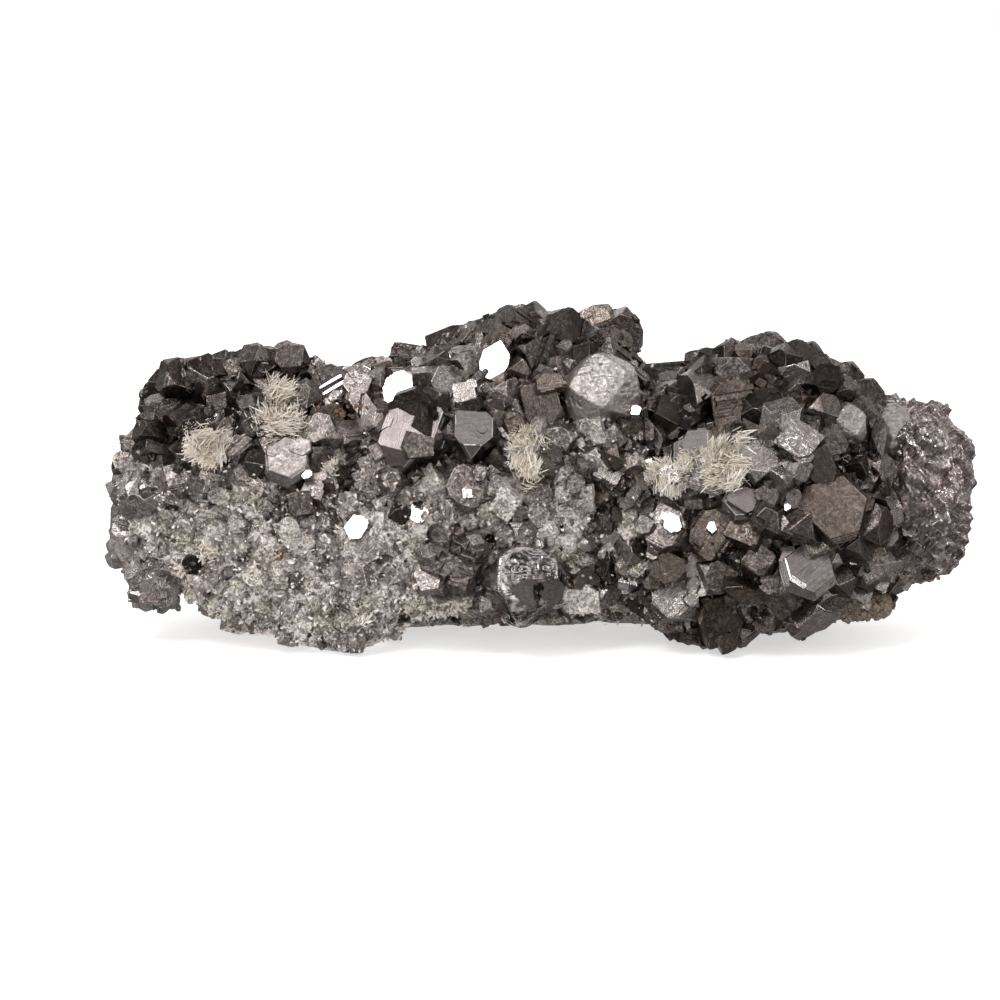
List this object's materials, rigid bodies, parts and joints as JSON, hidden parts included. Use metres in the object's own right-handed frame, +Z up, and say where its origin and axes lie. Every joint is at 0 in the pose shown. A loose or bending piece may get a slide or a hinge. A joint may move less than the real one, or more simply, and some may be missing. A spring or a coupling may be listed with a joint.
{
  "type": "galena specimen",
  "caption": "Long rock block set with bright galena crystals, pale quartz needles and a mass of broken galena at one end.",
  "frame": {"origin": "on the resting surface, under the middle of the specimen", "axes": "+X along the specimen, -Y towards its display side, +Z up"},
  "size_m": [0.2446, 0.086, 0.0931],
  "materials": {
    "host_rock": "rough sparkling druse of fine pale quartz and grey ore",
    "galena": "metallic lead grey, bright facets with growth lines",
    "needles": "pale translucent quartz needles",
    "siderite": "dull olive brown carbonate"
  },
  "bodies": {
    "root": {"host_rock": "host_rock", "broken_galena_mass": "galena", "brown_band": "siderite", "dome_crystal": "galena", "split_face_crystal": "galena", "big_silver_crystal": "galena", "hexagon_plate": "galena", "mauve_hexagon": "galena", "left_shoulder_block": "galena", "black_crown_crystal": "galena", "mottled_peak_crystal": "galena", "grey_twin_right": "galena", "grey_twin_left": "galena", "toe_crystal": "galena", "right_brown_crystal": "galena", "crown_top_plate": "galena", "crown_ridge_crystal": "galena", "notch_striped_block": "galena", "white_face_crystal": "galena", "tall_white_face_crystal": "galena", "crown_left_crystal": "galena", "heart_face_crystal": "galena", "striped_block": "galena", "second_peak_block": "galena", "left_edge_block": "galena", "left_peak_block": "galena", "pale_chip": "galena", "left_flat_plate": "galena", "left_rim_crystal": "galena", "left_low_block": "galena", "rust_block": "galena", "grey_bar_crystal": "galena", "crest_block_left": "galena", "crest_block_right": "galena", "dark_knob_crystal": "galena", "centre_dark_crystal": "galena", "gable_crystal": "galena", "crest_plate_right": "galena", "hooded_crystal": "galena", "round_dark_crystal": "galena", "right_shoulder_crystal": "galena", "mauve_face_crystal": "galena", "fan_striped_crystal": "galena", "ridge_block": "galena", "mauve_plate_crystal": "galena", "veined_crystal": "galena", "ringed_crystal": "galena", "dark_pool_crystal": "galena", "lower_faceted_crystal": "galena", "rough_round_crystal": "galena", "purple_face_crystal": "galena", "low_centre_crystal": "galena", "back_left_crystal": "galena", "back_centre_crystal": "galena", "back_right_crystal": "galena", "needle_tuft_upper_left": "needles", "needle_tuft_left": "needles", "needle_tuft_centre": "needles", "needle_tuft_right": "needles", "needle_tuft_right_inner": "needles"}
  },
  "joints": []
}
